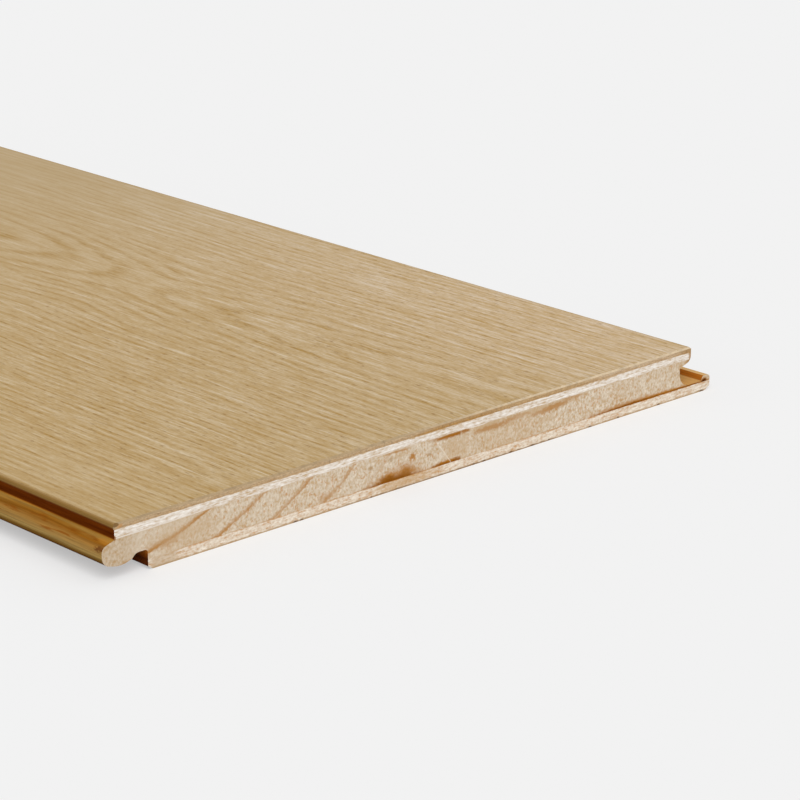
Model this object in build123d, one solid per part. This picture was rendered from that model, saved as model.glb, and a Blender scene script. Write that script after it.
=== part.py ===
from build123d import *
from math import radians, tan
import os

# Engineered wood floor plank, lying face up, in millimetres.
# X runs along the plank, Y across it from the tongue side to the groove side, Z up from its underside.

# Plank
plank_length = 1200
face_width = 200  # what one plank covers, from the tongue's joint plane to the groove's
edge_bevel = 0.5  # along both long edges of the face
end_bevel = 0.4  # along both cut ends of the face

# Glued layers, from the bottom up
lower_ply_thickness = 2.7
core_thickness = 7.8
upper_ply_thickness = 2.0
veneer_thickness = 1.5
tongue_slat_width = 111.5  # from the tongue's joint plane to the glue line between the core's two slats

# Play between this plank and the next, where the joint's sloping faces meet
joint_play = 0.1

# Groove, milled into the core
groove_depth = 4.4
groove_mouth_cover = 0.4  # core left above the groove's mouth
groove_floor_cover = 0.4  # core left on the lower ply under the groove and the lip's floor
flank_angle = 18  # slope of the groove's roof and of the tongue's top
groove_mouth_radius = 1.9
groove_roof_radius = 0.4
groove_floor_radius = 3.9

# Lip below the groove, with its locking element
lip_reach = 8.2
lip_underside_rise = 1.15
lip_underside_run = 2.2
lock_foot_distance = 4.45  # from the groove's joint plane to the foot of the locking element
lock_height = 1.35
lock_angle = 55  # slope of the locking faces
lock_foot_radius = 0.5
lock_top_radius = 0.4
lip_end_radius = 1.1
lip_underside_radius = 0.4

# Tongue
tongue_reach = 3.8
tongue_tip_lift = 1.35  # from the level of the lip's floor to the bottom of the tongue's tip
tongue_root_radius = 0.6
tongue_tip_top_radius = 1.8
tongue_tip_bottom_radius = 2.6
belly_inset = 1.6  # from the joint plane back to the lowest part of the tongue's rounded belly
belly_radius = 8
belly_corner_drop = 0.1  # from the level of the lip's floor; the rounding lifts the belly itself clear of it

# Notch behind the tongue, which takes the locking element
notch_edge_lift = 1.0  # from the level of the lip's floor to the lower edge of the notch's locking face
notch_headroom = 0.8  # above the top of the locking element
lip_end_gap = 1.4  # from the end of the lip to the notch's back wall
notch_edge_radius = 0.4
notch_roof_radius = 2.2
notch_back_radius = 0.9
shoulder_rise = 0.85
shoulder_run = 1.4
shoulder_radius = 0.2

# Levels of the layers
core_bottom = lower_ply_thickness
core_top = core_bottom + core_thickness
upper_ply_top = core_top + upper_ply_thickness
face_level = upper_ply_top + veneer_thickness

# Joint planes, and the core's glue line between them
tongue_plane = -face_width / 2
groove_plane = face_width / 2
core_joint = tongue_plane + tongue_slat_width

# Levels that the tongue shares with the groove
groove_mouth_level = core_top - groove_mouth_cover
lip_floor_level = core_bottom + groove_floor_cover
lock_top_level = lip_floor_level + lock_height
flank_slope = tan(radians(flank_angle))
lock_slope = tan(radians(lock_angle))


# Each corner is a place across the plank, a level, and the radius that the cutter leaves there
def tongue_side_corners():
    root_level = groove_mouth_level - joint_play
    tip_top = root_level - tongue_reach * flank_slope
    tip_bottom = lip_floor_level + tongue_tip_lift
    largest_tip_radius = 0.6 * (tip_top - tip_bottom)
    notch_edge = lip_floor_level + notch_edge_lift
    notch_roof = lock_top_level + notch_headroom
    # The locking face runs beside the lip's, set off by the play
    lock_face_foot = tongue_plane + lock_foot_distance - joint_play
    notch_back = tongue_plane + lip_reach + lip_end_gap
    return [
        (tongue_plane + edge_bevel, face_level, 0),
        (tongue_plane, face_level - edge_bevel, 0),
        (tongue_plane, root_level, tongue_root_radius),
        (tongue_plane - tongue_reach, tip_top, min(tongue_tip_top_radius, largest_tip_radius)),
        (tongue_plane - tongue_reach, tip_bottom, min(tongue_tip_bottom_radius, largest_tip_radius)),
        (tongue_plane + belly_inset, lip_floor_level - belly_corner_drop, belly_radius),
        (lock_face_foot + notch_edge_lift / lock_slope, notch_edge, notch_edge_radius),
        (lock_face_foot + (notch_roof - lip_floor_level) / lock_slope, notch_roof, notch_roof_radius),
        (notch_back, notch_roof, notch_back_radius),
        (notch_back, shoulder_rise, shoulder_radius),
        (notch_back + shoulder_run, 0, 0),
    ]


def groove_side_corners():
    groove_back = groove_plane - groove_depth
    roof_back_level = groove_mouth_level - groove_depth * flank_slope
    largest_floor_radius = 0.8 * (roof_back_level - lip_floor_level)
    lock_foot = groove_plane + lock_foot_distance
    lip_end = groove_plane + lip_reach
    return [
        (lip_end - lip_underside_run, 0, 0),
        (lip_end, lip_underside_rise, lip_underside_radius),
        (lip_end, lock_top_level, lip_end_radius),
        (lock_foot + lock_height / lock_slope, lock_top_level, lock_top_radius),
        (lock_foot, lip_floor_level, lock_foot_radius),
        (groove_back, lip_floor_level, min(groove_floor_radius, largest_floor_radius)),
        (groove_back, roof_back_level, groove_roof_radius),
        (groove_plane, groove_mouth_level, groove_mouth_radius),
        (groove_plane, face_level - edge_bevel, 0),
        (groove_plane - edge_bevel, face_level, 0),
    ]


# The plank's milled section, run along its whole length
def milled_bar():
    corners = tongue_side_corners() + groove_side_corners()
    outline = FilletPolyline(
        [(across, level) for across, level, radius in corners],
        radius=[radius for across, level, radius in corners],
        close=True,
    )
    section = Plane.YZ * make_face(outline)
    return extrude(section, amount=plank_length / 2, both=True)


# One board of the glued blank, before the long edges are milled
def board(bottom, top, start=tongue_plane - tongue_reach, end=groove_plane + lip_reach):
    middle = Pos(0, (start + end) / 2, (bottom + top) / 2)
    return middle * Box(plank_length, end - start, top - bottom)


def bevel_cut_ends(veneer):
    face = veneer.faces().sort_by(Axis.Z)[-1]
    return chamfer(face.edges().filter_by(Axis.Y), end_bevel)


bar = milled_bar()
pieces = {
    "lower_cross_ply": bar & board(0, core_bottom),
    "core_slat_tongue_side": bar & board(core_bottom, core_top, end=core_joint),
    "core_slat_groove_side": bar & board(core_bottom, core_top, start=core_joint),
    "upper_cross_ply": bar & board(core_top, upper_ply_top),
    "oak_face_veneer": bevel_cut_ends(bar & board(upper_ply_top, face_level)),
}

os.makedirs("parts", exist_ok=True)
for name, piece in pieces.items():
    export_step(piece, f"parts/{name}.step")
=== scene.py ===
import bpy
from math import radians
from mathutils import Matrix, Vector


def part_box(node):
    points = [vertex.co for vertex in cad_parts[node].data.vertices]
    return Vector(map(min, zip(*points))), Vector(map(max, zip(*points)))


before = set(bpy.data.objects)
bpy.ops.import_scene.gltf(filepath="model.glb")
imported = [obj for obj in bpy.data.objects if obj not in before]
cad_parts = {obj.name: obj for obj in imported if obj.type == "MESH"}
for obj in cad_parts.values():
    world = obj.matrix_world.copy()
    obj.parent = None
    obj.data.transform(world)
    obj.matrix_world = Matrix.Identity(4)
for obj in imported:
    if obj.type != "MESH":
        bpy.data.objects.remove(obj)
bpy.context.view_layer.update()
print("frame loaded:", ", ".join(sorted(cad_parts)))

# Everything that paints the wood works in millimetres of the plank's own frame:
# x along the plank, y across it from the tongue to the groove, z up from the underside.
# A place across is counted from the tongue's joint plane, unless its note says y.
# The dictionaries write what the Wood class draws as plain rows, where lengths are x, y and z:
# a fade is (where it is 0, where it is 1), a ramp has its two values after that,
# a band is (start, end, softness), a drift is (lengths, seed, how far it drifts, detail),
# patches are (lengths, seed, detail, noise where they are 0, noise where they are 1),
# and a spot or place is (across, up, its half sizes), a spot with raggedness and seed after that.

perMetre = 1000  # millimetres


def edgesOf(node):  # lowest and highest corner, in millimetres
    low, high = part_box(node)
    return [perMetre * value for value in low], [perMetre * value for value in high]


oakLow, oakHigh = edgesOf("oak_face_veneer")
coreLow, coreHigh = edgesOf("core_slat_tongue_side")

plank = {
    "end": oakHigh[0],
    "jointPlane": oakHigh[1],
    "face": oakHigh[2],
    "oakBottom": oakLow[2],
    "coreTop": coreHigh[2],
    "coreBottom": coreLow[2],
    "lipEnd": edgesOf("core_slat_groove_side")[1][1],
    "endSkin": 0.02,  # what lies this near a cut end belongs to it
}

patterns = {
    "seedStep": (7.3, 3.1, 11.7),  # how far the next seed's noise lies from this one's
    "seedStart": (0, 5, 0),
    "noiseMiddle": 0.5,
    "driftGain": 4,  # spreads the noise to the size that is asked for
    "nearFade": (1.2, 0.4),  # in shares of the reach
    "stainEdge": (2, 1.3, 0.6),  # lengths of a stain's ragged edge
    "stainFade": (1.4, 0.4),
    "glueBreaks": (3, 4, 50),  # lengths of the breaks in a glue line
    "glueBreakFade": (0.3, 0.7),
    "glueStrength": 0.6,
}


def paint(red, green, blue):  # 0 to 255 as seen on screen, made linear for the shader
    linear = []
    for value in (red / 255, green / 255, blue / 255):
        linear.append(value / 12.92 if value <= 0.04045 else ((value + 0.055) / 1.055) ** 2.4)
    return (*linear, 1.0)


class Field:  # a number or colour that varies over the wood, so that sums can be written plainly
    def __init__(self, wood, socket):
        self.wood = wood
        self.socket = socket

    def __add__(self, other):
        return self.wood.sum("ADD", self, other)

    def __sub__(self, other):
        return self.wood.sum("SUBTRACT", self, other)

    def __rsub__(self, other):
        return self.wood.sum("SUBTRACT", other, self)

    def __mul__(self, other):
        return self.wood.sum("MULTIPLY", self, other)

    def __truediv__(self, other):
        return self.wood.sum("DIVIDE", self, other)

    __radd__ = __add__


class Wood:  # one material and the nodes that paint it
    def __init__(self, name, look):
        self.material = bpy.data.materials.new(name)
        self.material.use_nodes = True
        self.nodes = self.material.node_tree.nodes
        self.links = self.material.node_tree.links
        self.shader = self.nodes["Principled BSDF"]
        self.shader.inputs["Roughness"].default_value = look["roughness"]
        self.shader.inputs["Specular IOR Level"].default_value = look["specular"]
        coordinates = self.nodes.new("ShaderNodeTexCoord")
        place = self.nodes.new("ShaderNodeVectorMath")
        place.operation = "SCALE"
        place.inputs["Scale"].default_value = perMetre
        self.links.new(coordinates.outputs["Object"], place.inputs[0])
        self.place = place.outputs[0]
        split = self.nodes.new("ShaderNodeSeparateXYZ")
        self.links.new(self.place, split.inputs[0])
        self.x, self.y, self.z = [Field(self, output) for output in split.outputs]
        self.isEnd = self.over(self.size(self.x), plank["end"] - plank["endSkin"])
        self.isShownEnd = self.over(self.x, plank["end"] - plank["endSkin"])
        self.fromTongue = self.y + plank["jointPlane"]

    def plug(self, value, socket):
        if isinstance(value, Field):
            self.links.new(value.socket, socket)
        else:
            socket.default_value = value[:3] if socket.type == "VECTOR" else value

    def sum(self, operation, *values):
        node = self.nodes.new("ShaderNodeMath")
        node.operation = operation
        for value, socket in zip(values, node.inputs):
            self.plug(value, socket)
        return Field(self, node.outputs[0])

    def over(self, value, limit):
        return self.sum("GREATER_THAN", value, limit)

    def size(self, value):
        return self.sum("ABSOLUTE", value)

    def root(self, value):
        return self.sum("SQRT", value)

    def rise(self, value, start, end):  # 0 at start, 1 at end, smooth between, either way round
        node = self.nodes.new("ShaderNodeMapRange")
        node.interpolation_type = "SMOOTHSTEP"
        self.plug(value, node.inputs["Value"])
        self.plug(start, node.inputs["From Min"])
        self.plug(end, node.inputs["From Max"])
        return Field(self, node.outputs["Result"])

    def ramp(self, value, start, end, low, high):  # low at start, high at end, smooth between
        return self.rise(value, start, end) * (high - low) + low

    def band(self, value, start, end, soft):  # 1 between start and end
        return self.rise(value, start - soft, start + soft) * self.rise(value, end + soft, end - soft)

    def noise(self, lengths, seed, detail):
        move = self.nodes.new("ShaderNodeVectorMath")
        move.operation = "MULTIPLY_ADD"
        self.links.new(self.place, move.inputs[0])
        move.inputs[1].default_value = [1 / length for length in lengths]
        steps = zip(patterns["seedStep"], patterns["seedStart"])
        move.inputs[2].default_value = [seed * step + start for step, start in steps]
        node = self.nodes.new("ShaderNodeTexNoise")
        node.inputs["Scale"].default_value = 1
        node.inputs["Detail"].default_value = detail
        self.links.new(move.outputs[0], node.inputs["Vector"])
        return Field(self, node.outputs[0])

    def drift(self, lengths, seed, size, detail=1):  # wanders about zero, to about size each way
        fromMiddle = self.noise(lengths, seed, detail) - patterns["noiseMiddle"]
        return fromMiddle * (patterns["driftGain"] * size)

    def patches(self, lengths, seed, detail, start, end):  # noise cut into soft patches
        return self.rise(self.noise(lengths, seed, detail), start, end)

    def mix(self, share, first, second):
        node = self.nodes.new("ShaderNodeMix")
        node.data_type = "RGBA"
        for value, number in ((share, 0), (first, 6), (second, 7)):  # 6 and 7 take its colours
            self.plug(value, node.inputs[number])
        return Field(self, node.outputs[2])

    def blend(self, value, *stops):  # stops: place and colour, from low to high
        node = self.nodes.new("ShaderNodeValToRGB")
        self.plug(value, node.inputs[0])
        elements = node.color_ramp.elements
        for number, (place, colour) in enumerate(stops):
            element = elements[number] if number < 2 else elements.new(place)
            element.position = place
            element.color = colour
        return Field(self, node.outputs[0])

    def blendBetween(self, value, low, high, stops):  # blend, with places in millimetres
        shares = [((place - low) / (high - low), colour) for place, colour in stops]
        return self.blend((value - low) / (high - low), *shares)

    def scaled(self, operation, colour, amount, socket):
        node = self.nodes.new("ShaderNodeVectorMath")
        node.operation = operation
        self.plug(colour, node.inputs[0])
        self.plug(amount, node.inputs[socket])
        return Field(self, node.outputs[0])

    def tint(self, colour, tint):
        return self.scaled("MULTIPLY", colour, tint, 1)

    def brighten(self, colour, amount):  # amount 0 leaves it, 0.1 is a tenth brighter
        return self.scaled("SCALE", colour, amount + 1, "Scale")

    def near(self, x, across, up, halfX, halfY, halfZ):  # 1 round a point, fading out
        away = ((self.x - x) / halfX, (self.fromTongue - across) / halfY, (self.z - up) / halfZ)
        squares = away[0] * away[0] + away[1] * away[1] + away[2] * away[2]
        return self.rise(squares, *patterns["nearFade"])

    def distance(self, sideways, upwards):
        return self.root(sideways * sideways + upwards * upwards)

    def spot(self, across, up, halfWidth, halfHeight, ragged, seed):  # a stain on the cut end
        reach = self.distance((self.fromTongue - across) / halfWidth, (self.z - up) / halfHeight)
        reach = reach + self.drift(patterns["stainEdge"], seed, ragged, 2)
        return self.rise(reach, *patterns["stainFade"]) * self.isShownEnd

    def glueLine(self, value, level, reach, seed):  # a broken thin shade beside a glue line
        broken = self.patches(patterns["glueBreaks"], seed, 2, *patterns["glueBreakFade"])
        return self.rise(self.size(value - level), reach, 0) * broken * patterns["glueStrength"]

    def finish(self, colour, relief, depth):  # relief: what stands up, depth: how far
        self.links.new(colour.socket, self.shader.inputs["Base Color"])
        node = self.nodes.new("ShaderNodeBump")
        node.inputs["Strength"].default_value = 1
        node.inputs["Distance"].default_value = depth / perMetre
        self.links.new(relief.socket, node.inputs["Height"])
        self.links.new(node.outputs[0], self.shader.inputs["Normal"])
        return self.material


def dress(node, material):
    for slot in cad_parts[node].material_slots:
        slot.material = material
    print(node, "gets", material.name)


# The oak face

oak = {
    "roughness": 0.6,
    "specular": 0.06,
    "relief": 0.04,
    "lineBrown": paint(167, 131, 68),
    "ground": paint(188, 161, 118),
    "paleStreak": paint(210, 192, 163),
    "poreBrown": paint(136, 94, 40),
    "bevelBrown": paint(150, 119, 74),
    "edgeOlive": paint(133, 101, 50),
    "edgeDark": paint(92, 46, 4),
    # The tongue side is yellower, the far side paler towards the shown end
    "nearTint": (0.965, 0.945, 0.87, 1),
    "middleTint": (0.985, 0.985, 0.975, 1),
    "farTint": (1.12, 1.16, 1.34, 1),
    "farBackTint": (0.965, 0.99, 1.04, 1),
    "farTintAlong": (300, 600),
    "backShade": -0.05,
    "backShadeAlong": (480, 300),
    # Two sets of arches point at each other
    "figureAxis": 30,  # y of the arches' tips
    "figureSaddle": 448,  # x between the two sets
    "saddleRound": 60,  # rounds the tips off
    "heartDepth": 27.8,  # of the tree's heart below the face at the saddle
    "heartRise": 17.6,  # how far the heart comes up towards either end
    "heartReach": 110,
    "heartWander": ((260, 5000, 5000), 1, 1.2),
    "heartWandersAlong": (300, 100),
    "axisWander": ((85, 32, 60), 2, 1.5),
    "ringWander": ((40, 14, 30), 3, 0.5),
    "ringRipple": ((9, 1.6, 8), 41, 0.14),
    "ringWidth": 2.5,
    # The dark line of a ring, in shares of the ring
    "lineFull": 0.16,
    "lineFades": 0.22,
    "lineGone": 0.6,
    "lineDepth": 0.26,
    "blur": 0.16,  # the rings run into each other where the face turns calm
    "blurAlong": (420, 240),
    "linePatches": ((34, 4.0, 20), 4, 2, 0.22, 0.6),
    "lineWhole": ((13, 1.3, 9), 40, 2, 0.36, 0.6),
    "brokenStrength": 0.35,
    "wholeStrength": 0.8,  # on top of the broken line's
    "plainAlong": (430, 300),  # the lines are fainter on the far side, away from the shown end
    "plainAcross": (30, 80),  # y
    "plainness": 0.55,
    "archAlong": (300, 455, 30),
    "archAcross": (16, 5),
    "archStrength": 0.2,
    # Grain: livelier towards the shown end, and calmer along the tongue side
    "livelyAlong": (260, 540, 0.18, 1.18),
    "livelyAcross": (-55, 0.7, 1),  # y
    "evenTone": 0.55,
    "broadStreaks": ((80, 3.4, 40), 5, 0.07),
    "streaks": ((24, 1.5, 20), 6, 0.09, 2),
    "streaksAlong": (240, 430, 0.35, 1),
    "fineGrain": ((8, 0.6, 8), 7, 0.18),
    "finestGrain": ((1.4, 0.5, 2), 12, 0.11),
    "paleStrokes": ((24, 1.1, 16), 8, 2, 0.56, 0.72),
    "darkStrokes": ((14, 0.7, 9), 42, 1, 0.62, 0.78),
    "strokeDepth": 0.2,
    "leastPale": 0.03,
    "leastDark": 0.02,
    # Open pores: short dark dashes, closest together in the rings' dark lines
    "pores": ((2.8, 0.34, 3), 9, 0, 0.63, 0.76),
    "poresAnywhere": 0.3,
    "poresInLines": 0.7,
    "poreShade": 0.5,
    "poreDepth": 2,
    # The long bevels, by distance from the joint planes, and the sides, by height in the layer
    "wornEdge": (1.4, 0.5),
    "wornShare": 0.3,
    "bevelFade": (0.62, 0.38),
    "sideFade": (0.4, 0.1),
    "darkUpTo": 0.14,
    "oliveFrom": 0.46,
    "sideStreaks": ((30, 3, 0.4), 13, 0.12, 2),
}


def oakRings(wood):  # where a ring's dark line is, and how strong it is there
    x, y = wood.x, wood.y
    along = x - oak["figureSaddle"]
    run = wood.root(along * along + oak["saddleRound"])
    heart = oak["heartDepth"] - run * oak["heartRise"] / (run + oak["heartReach"])
    heart = heart + wood.drift(*oak["heartWander"]) * wood.rise(x, *oak["heartWandersAlong"])
    fromAxis = y - oak["figureAxis"] + wood.drift(*oak["axisWander"])
    radius = wood.distance(fromAxis, heart) + wood.drift(*oak["ringWander"]) + wood.drift(*oak["ringRipple"])
    ring = wood.sum("FRACT", radius / oak["ringWidth"])
    blur = wood.rise(x, *oak["blurAlong"]) * oak["blur"]
    line = wood.rise(ring, 0, oak["lineFull"] + blur)
    line = line * wood.rise(ring, oak["lineGone"] + blur, oak["lineFades"])
    broken = wood.patches(*oak["lineWhole"]) * oak["wholeStrength"] + oak["brokenStrength"]
    plainBack = wood.rise(x, *oak["plainAlong"]) * wood.rise(y, *oak["plainAcross"])
    strength = wood.patches(*oak["linePatches"]) * broken * (1 - plainBack * oak["plainness"])
    arches = wood.rise(wood.size(fromAxis), *oak["archAcross"]) * wood.band(x, *oak["archAlong"])
    return line, strength + arches * oak["archStrength"]


def oakTone(wood, line, strength, lively):  # 0 is the lines' brown, 1 the palest streak
    fine = wood.drift(*oak["fineGrain"]) + wood.drift(*oak["finestGrain"])
    streaks = wood.drift(*oak["streaks"]) * wood.ramp(wood.x, *oak["streaksAlong"])
    tone = oak["evenTone"] + wood.drift(*oak["broadStreaks"]) + streaks + fine * lively
    tone = tone - line * strength * oak["lineDepth"]
    strokes = lively * oak["strokeDepth"]
    tone = tone + wood.patches(*oak["paleStrokes"]) * (strokes + oak["leastPale"])
    return tone - wood.patches(*oak["darkStrokes"]) * (strokes + oak["leastDark"])


def oakTint(wood):
    x, y, jointPlane = wood.x, wood.y, plank["jointPlane"]
    farTint = wood.mix(wood.rise(x, *oak["farTintAlong"]), oak["farBackTint"], oak["farTint"])
    tint = wood.mix(wood.rise(y, -jointPlane, 0), oak["nearTint"], oak["middleTint"])
    tint = wood.mix(wood.rise(y, 0, jointPlane), tint, farTint)
    return wood.brighten(tint, wood.rise(x, *oak["backShadeAlong"]) * oak["backShade"])


def oakFace():
    wood = Wood("lacqueredOak", oak)
    jointPlane = plank["jointPlane"]
    line, strength = oakRings(wood)
    lively = wood.ramp(wood.x, *oak["livelyAlong"]) * wood.ramp(wood.y, -jointPlane, *oak["livelyAcross"])
    tone = oakTone(wood, line, strength, lively)
    face = wood.blend(tone, (0, oak["lineBrown"]), (0.5, oak["ground"]), (1, oak["paleStreak"]))
    face = wood.tint(face, oakTint(wood))
    pores = wood.patches(*oak["pores"]) * (oak["poresAnywhere"] + line * oak["poresInLines"]) * lively
    face = wood.mix(pores * oak["poreShade"], face, oak["poreBrown"])
    # The bevels, and the side down to the stained ply
    fromEdge = jointPlane - wood.size(wood.y)
    face = wood.mix(wood.rise(fromEdge, *oak["wornEdge"]) * oak["wornShare"], face, oak["bevelBrown"])
    face = wood.mix(wood.rise(fromEdge, *oak["bevelFade"]), face, oak["bevelBrown"])
    height = wood.z - plank["oakBottom"]
    side = wood.blend(height, (oak["darkUpTo"], oak["edgeDark"]), (oak["oliveFrom"], oak["edgeOlive"]))
    side = wood.brighten(side, wood.drift(*oak["sideStreaks"]))
    face = wood.mix(wood.rise(fromEdge, *oak["sideFade"]), face, side)
    isBevelledEnd = wood.over(wood.size(wood.x), plank["end"] - oakEnd["bevelLength"])
    colour = wood.mix(isBevelledEnd, face, oakCutEnd(wood))
    return wood.finish(colour, tone - pores * oak["poreDepth"], oak["relief"])


# The oak's cut end: end grain, pinker near the tongue and browner in the middle

oakEnd = {
    "pink": paint(184, 160, 128),
    "brown": paint(172, 139, 98),
    "tan": paint(180, 150, 110),
    "paleTan": paint(182, 154, 116),
    "pale": paint(194, 171, 142),
    "streak": paint(160, 126, 86),
    "golden": paint(166, 124, 66),
    # The cut end's bevel: darkened near the tongue as painted shade, paler towards the groove as a painted
    # highlight
    "bevelShadeNear": paint(166, 143, 110),
    "bevelHighlightFar": paint(200, 180, 150),
    "mark": paint(112, 80, 34),
    # the brown at 198, by the groove's side, is painted shade along the rounded edge there
    "places": ((94, "pink"), (104, "brown"), (122, "brown"), (130, "tan"), (156, "paleTan"),
               (166, "pale"), (192, "pale"), (198, "brown")),  # across, and the colour there
    "waver": ((5, 7, 5), 10, 0.12),
    "goldenUp": (0.8, 0.1),  # in the layer
    "goldenAcross": (96, 121, 3),
    "goldenThere": 0.6,  # on top of what it is anywhere
    "goldenAnywhere": 0.35,
    "streaks": ((2, 3.5, 0.22), 14, 2, 0.42, 0.7),
    "streakShare": 0.7,
    "grain": ((2, 0.6, 0.4), 11, 0.2, 2),
    "bevelLength": 0.41,  # along, a little more than the bevel itself
    "bevelDown": (0.45, 0.38),  # below the face
    "bevelAcross": (70, 150),
    "bevelGrain": ((3, 2, 3), 15, 0.16, 2),
    # an orange spot: the wax's colour, and a painted highlight of the tongue's upper edge seen edge-on
    "waxHighlightSpot": (1.6, 13.2, 0.8, 0.5, 0.3, 17),
    "waxHighlightShare": 0.45,
    "corner": (0.3, 13.6, 1.2, 1.2, 0.6),
    "cornerShare": 0.85,
}


def oakCutEnd(wood):
    across, z, face = wood.fromTongue, wood.z, plank["face"]
    stops = [(place, oakEnd[colour]) for place, colour in oakEnd["places"]]
    cut = wood.blendBetween(across, 0, 2 * plank["jointPlane"], stops)
    height = z - plank["oakBottom"] + wood.drift(*oakEnd["waver"])
    golden = wood.band(across, *oakEnd["goldenAcross"]) * oakEnd["goldenThere"] + oakEnd["goldenAnywhere"]
    cut = wood.mix(wood.rise(height, *oakEnd["goldenUp"]) * golden, cut, oakEnd["golden"])
    cut = wood.mix(wood.patches(*oakEnd["streaks"]) * oakEnd["streakShare"], cut, oakEnd["streak"])
    cut = wood.brighten(cut, wood.drift(*oakEnd["grain"]))
    # the bevel: painted shade near the tongue, a painted highlight towards the groove
    bevel = wood.mix(wood.rise(across, *oakEnd["bevelAcross"]), oakEnd["bevelShadeNear"], oakEnd["bevelHighlightFar"])
    bevel = wood.brighten(bevel, wood.drift(*oakEnd["bevelGrain"]))
    low, high = oakEnd["bevelDown"]
    cut = wood.mix(wood.rise(z, face - low, face - high), cut, bevel)
    # the orange spot: wax colour and a painted highlight
    cut = wood.mix(wood.spot(*oakEnd["waxHighlightSpot"]) * oakEnd["waxHighlightShare"], cut, core["waxHighlight"])
    corner = wood.near(plank["end"], *oakEnd["corner"])
    return wood.mix(corner * oakEnd["cornerShare"], cut, oakEnd["mark"])


# Where the layers meet on the cut end

seams = {
    "reach": 0.45,
    "plyReach": 0.3,
    "lowerShare": 1.3,
    "lowerAcross": (16, 20),  # the lower glue line starts behind the notch
    "dipWander": ((4, 9, 500), 18, 0.16, 2),
    "dipMiddle": (114.5, 120.5, 1.5),
    "dipMiddleDepth": 0.3,
    "dipTongue": (34, 14),
    "dipTongueDepth": 0.35,
    "softness": 0.1,
    # The painted shade in the gap at the tongue's inner corner
    "cornerUp": 10.45,
    "cornerReach": 0.62,
    "cornerCore": 0.6,  # share of the reach that is fully dark
    "cornerWaver": ((2, 1, 1), 17, 0.15),
    "cornerShare": 0.85,
}


def plyDip(wood):  # how far the white ply's lower face wanders down into the core
    middle = wood.band(wood.fromTongue, *seams["dipMiddle"]) * seams["dipMiddleDepth"]
    tongue = wood.rise(wood.fromTongue, *seams["dipTongue"]) * seams["dipTongueDepth"]
    return wood.drift(*seams["dipWander"]) + (middle + tongue) * wood.isShownEnd


def waxedGapShade(wood, end):  # painted shade in the gap round the tongue's inner corner, below the white ply's rounded corner, in the waxed edge's orange-brown
    distance = wood.distance(wood.fromTongue, wood.z - seams["cornerUp"]) + wood.drift(*seams["cornerWaver"])
    shadedRim = wood.rise(distance, seams["cornerReach"], seams["cornerReach"] * seams["cornerCore"])
    return wood.mix(shadedRim * seams["cornerShare"], end, core["corner"])


def lowerSeam(wood, end, seed):  # the brown glue line on the lower ply
    seam = wood.glueLine(wood.z, plank["coreBottom"], seams["reach"], seed)
    seam = seam * wood.rise(wood.fromTongue, *seams["lowerAcross"])
    return wood.mix(seam * seams["lowerShare"], end, core["brown"])


def upperSeam(wood, end, seed):  # the glue line under the white ply, and where that ply dips into the core
    level, top, soft = wood.z + plyDip(wood), plank["coreTop"], seams["softness"]
    end = wood.mix(wood.glueLine(level, top, seams["reach"], seed), end, core["tan"])
    return wood.mix(wood.rise(level, top - soft, top + soft), end, poplar["cream"])


def addMarks(wood, end, colours, marks, firstSeed):
    for number, (across, up, halfWidth, halfHeight, ragged, colour, strength) in enumerate(marks):
        mark = wood.spot(across, up, halfWidth, halfHeight, ragged, firstSeed + number)
        end = wood.mix(mark * strength, end, colours[colour])
    return end


# The upper ply: poplar, its grain across the plank

poplar = {
    "roughness": 0.8,
    "specular": 0.02,
    "relief": 0.05,
    "bright": paint(240, 234, 226),
    "cream": paint(219, 208, 195),
    "shadow": paint(190, 162, 126),
    # painted shade along the rounded edge on the groove's side of the cut end
    "shadedRim": paint(160, 118, 66),
    "waxedDark": paint(74, 26, 0),
    "waxedLight": paint(100, 45, 2),
    "evenTone": 0.49,
    "fibres": ((4, 9, 0.36), 21, 0.44, 2),
    "flecks": ((3, 1.6, 0.5), 23, 0.42, 2),
    "palerTongue": (22, 4),
    "palerTongueBy": 0.14,
    "palerFar": (95, 110),
    "palerFarBy": 0.03,
    "seamSeeds": (24, 25),  # above and below
    # where the painted shade along the groove side's rounded edge lies
    "rimAcross": (98.8, 99.6),  # y
    "rimWaver": ((3, 3, 0.8), 26, 0.1),
    "rimShare": 0.8,
    "waxStreaks": ((14, 3, 0.7), 22, 0.5, 2),
    "sideFade": (0.12, 0.02),  # from the joint planes
}


def poplarPly():
    wood = Wood("poplarPly", poplar)
    y, z, across = wood.y, wood.z, wood.fromTongue
    bottom, top, soft = plank["coreTop"], plank["oakBottom"], seams["softness"]
    tone = poplar["evenTone"] + wood.drift(*poplar["fibres"]) + wood.drift(*poplar["flecks"])
    tone = tone + wood.rise(across, *poplar["palerTongue"]) * poplar["palerTongueBy"]
    tone = tone + wood.rise(across, *poplar["palerFar"]) * poplar["palerFarBy"]
    for level, seed in zip((top, bottom), poplar["seamSeeds"]):
        tone = tone - wood.glueLine(z, level, seams["plyReach"], seed)
    end = wood.blend(tone, (0, poplar["shadow"]), (0.5, poplar["cream"]), (1, poplar["bright"]))
    end = wood.mix(wood.rise(z + plyDip(wood), bottom + soft, bottom - soft), end, core["cream"])
    # painted shade in the gap at the tongue's inner corner
    end = waxedGapShade(wood, end)
    # painted shade along the rounded edge on the groove's side of the cut end
    shadedRim = wood.rise(y + wood.drift(*poplar["rimWaver"]), *poplar["rimAcross"])
    end = wood.mix(shadedRim * poplar["rimShare"], end, poplar["shadedRim"])
    streaks = 0.5 + wood.drift(*poplar["waxStreaks"])
    side = wood.blend(streaks, (0, poplar["waxedDark"]), (1, poplar["waxedLight"]))
    outer, inner = poplar["sideFade"]
    isSide = wood.rise(wood.size(y), plank["jointPlane"] - outer, plank["jointPlane"] - inner)
    colour = wood.mix(isSide * (1 - wood.isEnd), end, side)
    return wood.finish(colour, tone, poplar["relief"])


# The core: two slats of softwood

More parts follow.
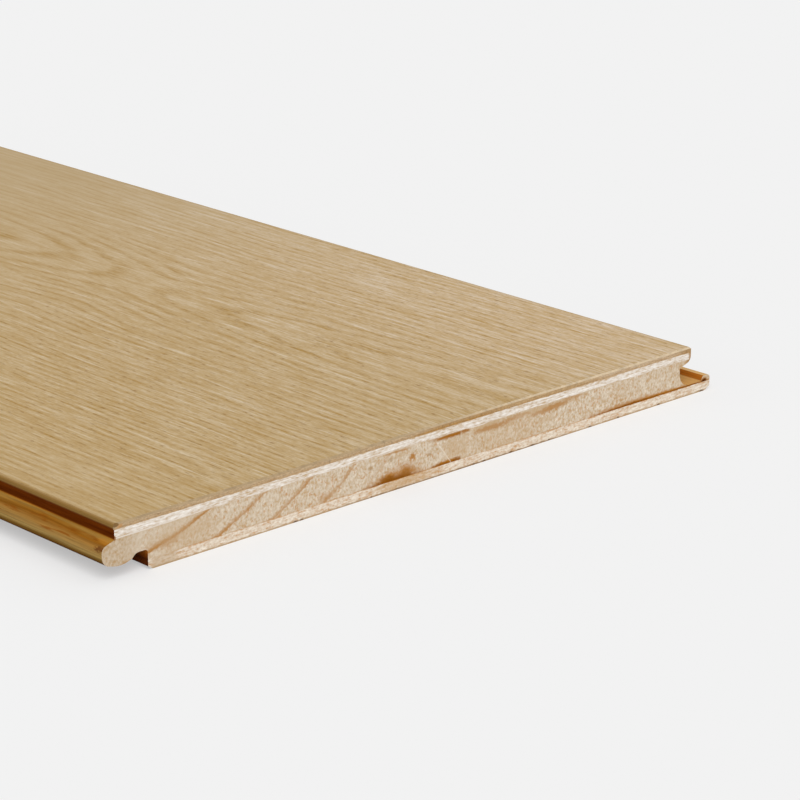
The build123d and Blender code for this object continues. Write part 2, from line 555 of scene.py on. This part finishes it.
core = {
    "roughness": 0.8,
    "specular": 0.03,
    "relief": 0.05,
    "bright": paint(224, 211, 192),
    "cream": paint(202, 186, 164),
    "tan": paint(189, 161, 125),
    "brown": paint(170, 124, 74),
    "dot": paint(182, 128, 72),
    "lineBrown": paint(172, 126, 74),
    "stain": paint(130, 76, 12),
    "stainEdge": paint(168, 112, 42),
    "speck": paint(148, 108, 56),
    "glue": paint(154, 98, 32),
    "lipMark": paint(84, 40, 2),
    # the wax's orange, used as a painted highlight on the oak's cut end
    "waxHighlight": paint(192, 126, 48),
    # orange-brown painted shade in the gap at the tongue's inner corner
    "corner": paint(134, 82, 26),
    "tanAt": 0.3,  # the tones at which a point is tan and cream
    "creamAt": 0.58,
    "evenTone": 0.57,
    "leastGrain": 0.25,
    "grainMore": ((5, 40, 0.22), (100, 120, 0.08), (6, 1, 0.45)),  # fade across, and how much it adds
    "fineLengths": (3, 0.6, 0.7),
    "fineSize": 0.6,
    "coarseLengths": (5, 1.6, 1.1),
    "coarseSize": 0.26,
    "broadLengths": (8, 9, 4),
    "broadSize": 0.06,
    "dotLengths": (2, 0.7, 0.95),
    "dotFade": (0.57, 0.74),
    "dotShare": (5, 40, 0.35, 0.6),  # fewer towards the tongue
    # Browner at the tongue's tip, behind the notch, in the middle and towards the groove
    "tip": (9, 2),
    "tipBrowner": 0.45,
    "tipShade": -0.08,
    "behindNotch": (13, 30, 3),
    "notchBrowner": 0.3,
    "middle": (116, 139, 5),
    "middleBrowner": 0.35,
    "farSide": (160, 175),
    "farBrowner": 0.1,
}


def softwoodTone(wood, seed):
    grainy = core["leastGrain"]
    for start, end, more in core["grainMore"]:
        grainy = wood.rise(wood.fromTongue, start, end) * more + grainy
    tone = wood.drift(core["fineLengths"], seed, core["fineSize"])
    tone = tone + wood.drift(core["coarseLengths"], seed + 1, core["coarseSize"], 2)
    return core["evenTone"] + tone * grainy + wood.drift(core["broadLengths"], seed + 2, core["broadSize"])


def softwoodEnd(wood, tone, seed):
    across = wood.fromTongue
    end = wood.blend(tone, (0, core["brown"]), (core["tanAt"], core["tan"]),
                     (core["creamAt"], core["cream"]), (1, core["bright"]))
    dots = wood.patches(core["dotLengths"], seed, 1, *core["dotFade"])
    end = wood.mix(dots * wood.ramp(across, *core["dotShare"]), end, core["dot"])
    tip = wood.rise(across, *core["tip"])
    browner = tip * core["tipBrowner"] + wood.band(across, *core["behindNotch"]) * core["notchBrowner"]
    browner = browner + wood.band(across, *core["middle"]) * core["middleBrowner"]
    browner = browner + wood.rise(across, *core["farSide"]) * core["farBrowner"]
    return wood.brighten(wood.mix(browner, end, core["tan"]), tip * core["tipShade"])


# The slat on the tongue's side, with slanting growth rings and the large stain

tongueSlat = {
    "toneSeed": 32,
    "dotSeed": 35,
    "upperSeamSeed": 38,
    "lowerSeamSeed": 39,
    "markSeed": 60,
    "heartAcross": -121.7,  # y of the tree's heart
    "heartUp": 132.1,
    "rings": ((131.7, 1.0), (139.4, 0.85), (147.2, 0.8), (155.8, 0.7), (163.5, 0.25)),  # radius, strength
    "ringWander": ((60, 9, 6), 31, 0.3),
    "ringRipple": ((3, 0.8, 0.8), 30, 0.2),
    "lineWidth": 1.3,
    "lineEdge": 0.5,
    "lineStrength": 0.95,
    "lineBreaks": ((3, 0.9, 0.7), 36, 0.22),
    "linePatches": ((3, 9, 4), 39, 0.25),
    # A small light crack slants down beside the middle
    "crackAcross": 102.9,
    "crackUp": 9.4,
    "crackFacing": (0.787, 0.617),  # square to the crack, across and up
    "crackWaver": ((3, 1.5, 1.5), 37, 0.12),
    "crackFade": (0.24, 0.06),
    "crackBand": (103, 108, 0.5),
    "crackShare": 0.6,
    # Across, up, half width, half height, raggedness, colour and strength
    "marks": (
        (89.0, 3.2, 9.0, 1.5, 0.35, "stainEdge", 0.7),
        (86.0, 4.0, 2.8, 1.5, 0.4, "stainEdge", 0.8),
        (92.4, 4.3, 2.4, 1.7, 0.4, "stainEdge", 0.75),
        (91.0, 5.2, 5.0, 1.6, 0.5, "stainEdge", 0.35),
        (87.2, 8.5, 0.9, 0.55, 0.4, "speck", 0.5),
        (94.6, 7.6, 1.1, 0.8, 0.4, "stainEdge", 0.9),
        (80.2, 7.8, 0.7, 0.5, 0.4, "speck", 0.5),
        (100.4, 6.7, 0.7, 0.5, 0.4, "speck", 0.6),
        (89.5, 10.2, 4.0, 0.4, 0.3, "lineBrown", 0.8),
        (90.5, 8.9, 3.2, 0.6, 0.4, "tan", 0.6),
        (109.0, 6.0, 3.5, 4.0, 0.4, "tan", 0.6),
        (14.0, 5.4, 5.0, 1.3, 0.4, "lineBrown", 0.5),
        (20.0, 6.6, 11.0, 1.6, 0.4, "tan", 0.35),
        (65.0, 4.2, 3.0, 1.2, 0.4, "lineBrown", 0.4),
        (88.0, 2.7, 9.0, 0.8, 0.2, "stain", 0.95),
        (88.6, 3.2, 4.6, 1.0, 0.3, "stain", 0.6),
        (85.8, 3.4, 2.6, 1.1, 0.4, "stain", 0.7),
        (92.3, 3.8, 1.8, 1.3, 0.4, "stain", 0.4),
        (107.0, 2.9, 6.0, 0.8, 0.3, "stainEdge", 1.0),
        (104.6, 2.8, 3.4, 0.6, 0.3, "stain", 0.8),
        (110.0, 2.9, 2.2, 0.7, 0.3, "stain", 0.8),
        (108.5, 10.1, 6.8, 0.8, 0.3, "glue", 1.0),
    ),
}


def lateWood(wood):  # the dark lines of the growth rings
    radius = wood.distance(wood.y - tongueSlat["heartAcross"], wood.z - tongueSlat["heartUp"])
    radius = radius + wood.drift(*tongueSlat["ringWander"]) + wood.drift(*tongueSlat["ringRipple"])
    late = 0
    for outer, strength in tongueSlat["rings"]:
        line = wood.rise(radius, outer - tongueSlat["lineWidth"], outer)
        line = line * wood.rise(radius, outer + tongueSlat["lineEdge"], outer)
        late = late + line * strength
    patchy = wood.drift(*tongueSlat["lineBreaks"]) + wood.drift(*tongueSlat["linePatches"])
    return late * (tongueSlat["lineStrength"] + patchy)


def crack(wood):
    sideways, upwards = tongueSlat["crackFacing"]
    away = (wood.fromTongue - tongueSlat["crackAcross"]) * sideways
    away = away + (wood.z - tongueSlat["crackUp"]) * upwards
    away = wood.size(away + wood.drift(*tongueSlat["crackWaver"]))
    return wood.rise(away, *tongueSlat["crackFade"]) * wood.band(wood.fromTongue, *tongueSlat["crackBand"])


def tongueSideSlat():
    wood = Wood("coreSlatTongue", core)
    tone = softwoodTone(wood, tongueSlat["toneSeed"])
    end = lowerSeam(wood, softwoodEnd(wood, tone, tongueSlat["dotSeed"]), tongueSlat["lowerSeamSeed"])
    end = wood.mix(lateWood(wood), end, core["lineBrown"])
    end = addMarks(wood, end, core, tongueSlat["marks"], tongueSlat["markSeed"])
    end = wood.mix(crack(wood) * tongueSlat["crackShare"], end, core["bright"])
    # then painted shade in the gap at the tongue's inner corner
    end = waxedGapShade(wood, upperSeam(wood, end, tongueSlat["upperSeamSeed"]))
    return wood.finish(wood.mix(wood.isEnd, tongueMilled(wood), end), tone, core["relief"])


# The milled and waxed tongue, coloured by height, with painted shade under its belly and in the notch, and a
# painted highlight near the shown end

tongueMill = {
    "low": 4.4,
    "high": 10.5,
    "stops": (
        (4.6, paint(84, 49, 1)),  # painted shade under the belly, fading up to the tip
        (5.6, paint(110, 77, 22)),
        (6.4, paint(151, 123, 70)),  # the rounded tip
        (7.2, paint(156, 122, 67)),
        (8.1, paint(150, 113, 57)),
        (8.8, paint(148, 105, 47)),
        (9.3, paint(135, 84, 18)),  # up the slope
        (9.6, paint(144, 100, 36)),
        (9.8, paint(160, 120, 56)),
        (10.0, paint(154, 110, 42)),
        (10.15, paint(128, 72, 14)),
        (10.3, paint(92, 41, 2)),  # in the corner under the white ply
    ),
    "waver": ((22, 40, 1.2), 50, 0.22, 2),
    "waverUp": (10.0, 9.6),
    "streaks": ((20, 0.7, 0.32), 51, 0.3, 3),
    "flame": paint(130, 72, 10),
    "flames": ((9, 2.5, 0.55), 52, 4, 0.53, 0.66),
    "flamesUp": (7.2, 9.7, 0.5),
    "flameShare": 0.8,
    # A painted highlight: orange along the tongue's upper edge near the shown end
    "highlight": paint(204, 132, 40),
    "highlightPlace": (-1.2, 9.5, 5, 1.5, 0.45),
    "highlightShare": 0.3,
    "knot": paint(98, 54, 22),
    "knotBack": 1.2,  # from the shown end
    "knotPlace": (-3.4, 8.2, 2.2, 3, 0.8),
    "knotPatches": ((1.5, 1, 0.7), 54, 2, 0.3, 0.5),
    "knotShare": 0.85,
    # The notch behind the tongue is darker, and darkest near the underside: waxed, with painted shade in the
    # recess
    "notchHigh": 6,
    "notchStops": ((2.4, paint(72, 28, 2)), (3.72, paint(122, 64, 12)), (5.1, paint(176, 112, 44))),
    "notchAcross": (3.0, 4.2),
}


def tongueMilled(wood):
    z, mill = wood.z, tongueMill
    height = z + wood.drift(*mill["waver"]) * wood.rise(z, *mill["waverUp"])
    side = wood.blendBetween(height, mill["low"], mill["high"], mill["stops"])
    side = wood.brighten(side, wood.drift(*mill["streaks"]))
    flame = wood.patches(*mill["flames"]) * wood.band(z, *mill["flamesUp"])
    side = wood.mix(flame * mill["flameShare"], side, mill["flame"])
    # the painted highlight along the tongue's upper edge near the shown end
    side = wood.mix(wood.near(plank["end"], *mill["highlightPlace"]) * mill["highlightShare"], side, mill["highlight"])
    knot = wood.near(plank["end"] - mill["knotBack"], *mill["knotPlace"]) * wood.patches(*mill["knotPatches"])
    side = wood.mix(knot * mill["knotShare"], side, mill["knot"])
    notch = wood.blendBetween(z, 0, mill["notchHigh"], mill["notchStops"])
    return wood.mix(wood.rise(wood.fromTongue, *mill["notchAcross"]), side, notch)


# The slat on the groove's side, with stains along both glue lines

grooveSlat = {
    "toneSeed": 42,
    "dotSeed": 45,
    "upperSeamSeed": 48,
    "lowerSeamSeed": 49,
    "markSeed": 80,
    "tannerAcross": (92, 97.5),  # y
    "tanner": 0.4,
    # painted shade where the rounded edge curves down into the groove's mouth
    "mouthShade": (199.6, 9.9, 1.5, 0.9, 0.3, 79),
    "mouthShadeShare": 0.8,
    # Across, up, half width, half height, raggedness, colour and strength
    "marks": (
        (113.0, 10.1, 1.8, 0.7, 0.3, "glue", 0.9),
        (119.5, 9.3, 4.5, 0.9, 0.4, "tan", 0.7),
        (122.0, 9.9, 5.0, 0.6, 0.4, "tan", 0.7),
        (143.0, 9.6, 10.0, 1.0, 0.4, "tan", 0.8),
        (112.8, 6.0, 1.6, 4.0, 0.4, "tan", 0.5),
        (123.0, 8.8, 7.0, 0.8, 0.4, "lineBrown", 0.8),
        (131.5, 9.5, 5.0, 0.7, 0.4, "lineBrown", 0.55),
        (141.5, 8.6, 4.8, 0.7, 0.4, "lineBrown", 0.7),
        (147.0, 9.2, 4.6, 0.8, 0.4, "lineBrown", 0.85),
        (153.0, 10.1, 4.5, 0.6, 0.4, "lineBrown", 0.65),
        (143.0, 6.3, 4.0, 0.8, 0.5, "tan", 0.5),
        (178.0, 3.1, 18.0, 0.9, 0.35, "stainEdge", 0.75),
        (190.0, 2.8, 19.0, 0.6, 0.3, "stainEdge", 1.0),
        (177.0, 2.7, 16.0, 0.6, 0.25, "stain", 0.95),
        (198.5, 2.7, 9.0, 0.5, 0.25, "stain", 0.9),
        (205.8, 3.0, 1.5, 0.9, 0.2, "stainEdge", 0.9),
        (205.8, 2.9, 1.2, 0.75, 0.2, "lipMark", 1.0),
    ),
}


def grooveSideSlat():
    wood = Wood("coreSlatGroove", core)
    tone = softwoodTone(wood, grooveSlat["toneSeed"])
    end = lowerSeam(wood, softwoodEnd(wood, tone, grooveSlat["dotSeed"]), grooveSlat["lowerSeamSeed"])
    end = wood.mix(wood.rise(wood.y, *grooveSlat["tannerAcross"]) * grooveSlat["tanner"], end, core["tan"])
    end = addMarks(wood, end, core, grooveSlat["marks"], grooveSlat["markSeed"])
    end = upperSeam(wood, end, grooveSlat["upperSeamSeed"])
    # painted shade where the rounded edge curves down into the groove's mouth
    end = wood.mix(wood.spot(*grooveSlat["mouthShade"]) * grooveSlat["mouthShadeShare"], end, poplar["shadedRim"])
    return wood.finish(wood.mix(wood.isEnd, grooveMilled(wood), end), tone, core["relief"])


# The milled groove and lip, coloured by the distance past the groove's joint plane

grooveMill = {
    "back": paint(190, 138, 74),
    "floor": paint(196, 150, 88),
    "lockFace": paint(162, 96, 28),
    "lockTop": paint(208, 168, 112),
    "floorAcross": (-3.5, -0.5),
    "lockFaceAcross": (4.5, 5.6, 0.15),
    "lockTopAcross": (5.5, 5.8),
    "roofUp": (7.6, 8.8),
    "streaks": ((26, 0.6, 0.4), 53, 0.14, 2),
}


def grooveMilled(wood):
    past = wood.y - plank["jointPlane"]
    side = wood.mix(wood.rise(past, *grooveMill["floorAcross"]), grooveMill["back"], grooveMill["floor"])
    side = wood.mix(wood.band(past, *grooveMill["lockFaceAcross"]), side, grooveMill["lockFace"])
    side = wood.mix(wood.rise(past, *grooveMill["lockTopAcross"]), side, grooveMill["lockTop"])
    side = wood.mix(wood.rise(wood.z, *grooveMill["roofUp"]), side, grooveMill["back"])
    return wood.brighten(side, wood.drift(*grooveMill["streaks"]))


# The lower ply, its grain across the plank

backing = {
    "roughness": 0.8,
    "specular": 0.03,
    "relief": 0.05,
    "bright": paint(234, 224, 209),
    "cream": paint(212, 196, 176),
    "pink": paint(190, 142, 92),
    "underBrown": paint(186, 148, 106),
    "underTan": paint(212, 186, 152),
    # the painted shade along the lower arris
    "arris": paint(166, 138, 100),
    "stained": paint(182, 140, 82),
    "chip": paint(84, 56, 28),
    # the notch wall's wax, darkened as painted shade under the tongue
    "waxedAndShaded": paint(78, 34, 6),
    "waxedTan": paint(200, 162, 112),
    "evenTone": 0.54,
    "fibres": ((4, 3.0, 0.45), 51, 0.38, 2),
    "flecks": ((3, 0.8, 0.5), 52, 0.36, 2),
    "seamSeed": 53,
    # Beside the notch the shown end is as brown as the core
    "foot": (10.6, 18.3, 1.2),
    "footShare": 0.55,
    "footShade": -0.06,
    "stain": (92.5, 1.6, 11.0, 1.6, 0.4, 98),
    "stainShare": 0.6,
    # The lower arris: a ragged brown line of painted shade along the underside's edge, darker in the middle,
    # and small chips
    "ragged": ((3, 2.2, 3), 54, 0.16),
    "arrisUp": (0.62, 0.2),
    "arrisShare": 0.8,
    "darkAcross": (76, 150, 12),
    "darkUp": (0.45, 0.15),
    "darkShare": 0.5,
    "chips": ((55.2, 0.9), (57.3, 0.7), (80.5, 0.4), (116.2, 0.5), (120, 0.6), (129.8, 0.6), (138, 0.6),
              (144, 0.4), (160, 0.7), (171, 0.5), (187, 0.6), (205, 1.0)),  # across, half width
    "chipUp": 0.05,
    "chipHalfHeight": 0.4,
    "chipRagged": 0.3,
    "chipShare": 0.85,
    "chipSeed": 100,
    # The underside: bare ply, its grain running across the plank
    "underTone": 0.55,
    "underGrain": (((7, 90, 20), 57, 0.14, 2), ((1.6, 34, 20), 58, 0.2, 2), ((0.5, 9, 20), 59, 0.14, 1)),
    "underUp": (0.06, 0.02),
    "notchWall": (11.2, 10.8),
    "notchStreaks": ((9, 2, 0.8), 56, 0.2),
    "lipEdge": (2.3, 2.1),  # back from the end of the lip
}


def lowerArris(wood, end):
    # a ragged brown line of painted shade along the underside's edge, darker in the middle
    ragged = wood.z + wood.drift(*backing["ragged"])
    brown = wood.rise(ragged, *backing["arrisUp"]) * wood.isEnd * backing["arrisShare"]
    end = wood.mix(brown, end, backing["arris"])
    dark = wood.band(wood.fromTongue, *backing["darkAcross"]) * backing["darkShare"] * wood.isShownEnd
    end = wood.mix(wood.rise(ragged, *backing["darkUp"]) * dark, end, backing["chip"])
    chips = []
    for across, halfWidth in backing["chips"]:
        chips.append((across, backing["chipUp"], halfWidth, backing["chipHalfHeight"],
                      backing["chipRagged"], "chip", backing["chipShare"]))
    return addMarks(wood, end, backing, chips, backing["chipSeed"])


def underside(wood):
    grain = backing["underTone"]
    for layer in backing["underGrain"]:
        grain = wood.drift(*layer) + grain
    return wood.blend(grain, (0, backing["underBrown"]), (0.5, backing["underTan"]), (1, backing["bright"]))


def backingPly():
    wood = Wood("backingPly", backing)
    z, across = wood.z, wood.fromTongue
    tone = backing["evenTone"] + wood.drift(*backing["fibres"]) + wood.drift(*backing["flecks"])
    seam = wood.glueLine(z, plank["coreBottom"], seams["plyReach"], backing["seamSeed"])
    tone = tone - seam * wood.rise(across, *seams["lowerAcross"])
    end = wood.blend(tone, (0, backing["pink"]), (0.5, backing["cream"]), (1, backing["bright"]))
    foot = wood.band(across, *backing["foot"]) * wood.isShownEnd
    end = wood.brighten(wood.mix(foot * backing["footShare"], end, core["tan"]), foot * backing["footShade"])
    end = wood.mix(wood.spot(*backing["stain"]) * backing["stainShare"], end, backing["stained"])
    end = lowerArris(wood, end)
    colour = wood.mix(wood.rise(z, *backing["underUp"]), end, underside(wood))
    isLongEdge = 1 - wood.isEnd
    # the notch's wall under the tongue: waxed dark, with painted shade in the recess
    waxedAndShaded = wood.brighten(backing["waxedAndShaded"], wood.drift(*backing["notchStreaks"]))
    colour = wood.mix(wood.rise(across, *backing["notchWall"]) * isLongEdge, colour, waxedAndShaded)
    start, full = backing["lipEdge"]
    lipEdge = wood.rise(wood.y, plank["lipEnd"] - start, plank["lipEnd"] - full)
    colour = wood.mix(lipEdge * isLongEdge, colour, backing["waxedTan"])
    return wood.finish(colour, tone, backing["relief"])


dress("oak_face_veneer", oakFace())
dress("upper_cross_ply", poplarPly())
dress("core_slat_tongue_side", tongueSideSlat())
dress("core_slat_groove_side", grooveSideSlat())
dress("lower_cross_ply", backingPly())


# The studio: a pale floor, even sky light and one soft lamp

studio = {
    "paleGrey": paint(242, 242, 242),
    "skyWhite": (1, 1, 1, 1),
    "skyLight": 0.52,
    "lampPower": 2.03,
    "lampSoftness": radians(45),
    "lampFrom": (0.55, -0.4, 0.75),
    "floorReach": 4.0,  # metres each way
    "shadowLightened": 0.5,  # the floor still shows the plank's shadow, at half its depth
}


def seenDirectly(nodes, links):  # 1 for what the camera, a mirror or a glass shows, 0 for light
    path = nodes.new("ShaderNodeLightPath")
    share = path.outputs["Is Camera Ray"]
    for kind in ("Is Glossy Ray", "Is Transmission Ray"):
        larger = nodes.new("ShaderNodeMath")
        larger.operation = "MAXIMUM"
        links.new(share, larger.inputs[0])
        links.new(path.outputs[kind], larger.inputs[1])
        share = larger.outputs[0]
    return share


def showMix(tree, share, lit, plain, output):  # the lit shader, and by share the plain one
    mix = tree.nodes.new("ShaderNodeMixShader")
    for source, socket in zip((share, lit.outputs[0], plain.outputs[0]), mix.inputs):
        tree.links.new(source, socket)
    tree.links.new(mix.outputs[0], tree.nodes[output].inputs["Surface"])


def makeFloor():
    reach = studio["floorReach"]
    mesh = bpy.data.meshes.new("floor")
    corners = [(-reach, -reach, 0), (reach, -reach, 0), (reach, reach, 0), (-reach, reach, 0)]
    mesh.from_pydata(corners, [], [(0, 1, 2, 3)])
    floor = bpy.data.objects.new("floor", mesh)
    bpy.context.scene.collection.objects.link(floor)
    material = bpy.data.materials.new("paleFloor")
    material.use_nodes = True
    tree = material.node_tree
    matt = tree.nodes["Principled BSDF"]
    matt.inputs["Base Color"].default_value = studio["paleGrey"]
    matt.inputs["Roughness"].default_value = 1
    matt.inputs["Specular IOR Level"].default_value = 0
    plain = tree.nodes.new("ShaderNodeEmission")
    plain.inputs["Color"].default_value = studio["paleGrey"]
    lighter = tree.nodes.new("ShaderNodeMath")
    lighter.operation = "MULTIPLY"
    lighter.inputs[1].default_value = studio["shadowLightened"]
    tree.links.new(seenDirectly(tree.nodes, tree.links), lighter.inputs[0])
    showMix(tree, lighter.outputs[0], matt, plain, "Material Output")
    mesh.materials.append(material)


def makeSky():
    world = bpy.data.worlds.new("studioSky")
    bpy.context.scene.world = world
    world.use_nodes = True
    tree = world.node_tree
    sky = tree.nodes["Background"]
    sky.inputs["Color"].default_value = studio["skyWhite"]
    sky.inputs["Strength"].default_value = studio["skyLight"]
    plain = tree.nodes.new("ShaderNodeBackground")
    plain.inputs["Color"].default_value = studio["paleGrey"]
    showMix(tree, seenDirectly(tree.nodes, tree.links), sky, plain, "World Output")


def makeLamp():
    lamp = bpy.data.lights.new("softLamp", "SUN")
    lamp.energy = studio["lampPower"]
    lamp.angle = studio["lampSoftness"]
    holder = bpy.data.objects.new("softLamp", lamp)
    bpy.context.scene.collection.objects.link(holder)
    holder.rotation_euler = Vector(studio["lampFrom"]).to_track_quat("Z", "Y").to_euler()


camera = {
    "place": (1.09844, -0.47501, 0.25144),  # metres
    "pitchDown": 18.479,  # degrees
    "turn": 46.973,  # degrees
    "lens": 129.478,  # millimetres, as the sensor
    "sensor": 36,
    "nearest": 0.01,  # metres
    "furthest": 20,
}


def makeCamera():
    data = bpy.data.cameras.new("productCamera")
    data.lens = camera["lens"]
    data.sensor_width = camera["sensor"]
    data.clip_start = camera["nearest"]
    data.clip_end = camera["furthest"]
    holder = bpy.data.objects.new("productCamera", data)
    holder.location = camera["place"]
    holder.rotation_euler = (radians(90 - camera["pitchDown"]), 0, radians(camera["turn"]))
    bpy.context.scene.collection.objects.link(holder)
    bpy.context.scene.camera = holder


makeFloor()
makeSky()
makeLamp()
makeCamera()
bpy.context.scene.view_settings.view_transform = "Standard"
print("floor, light and camera stand")
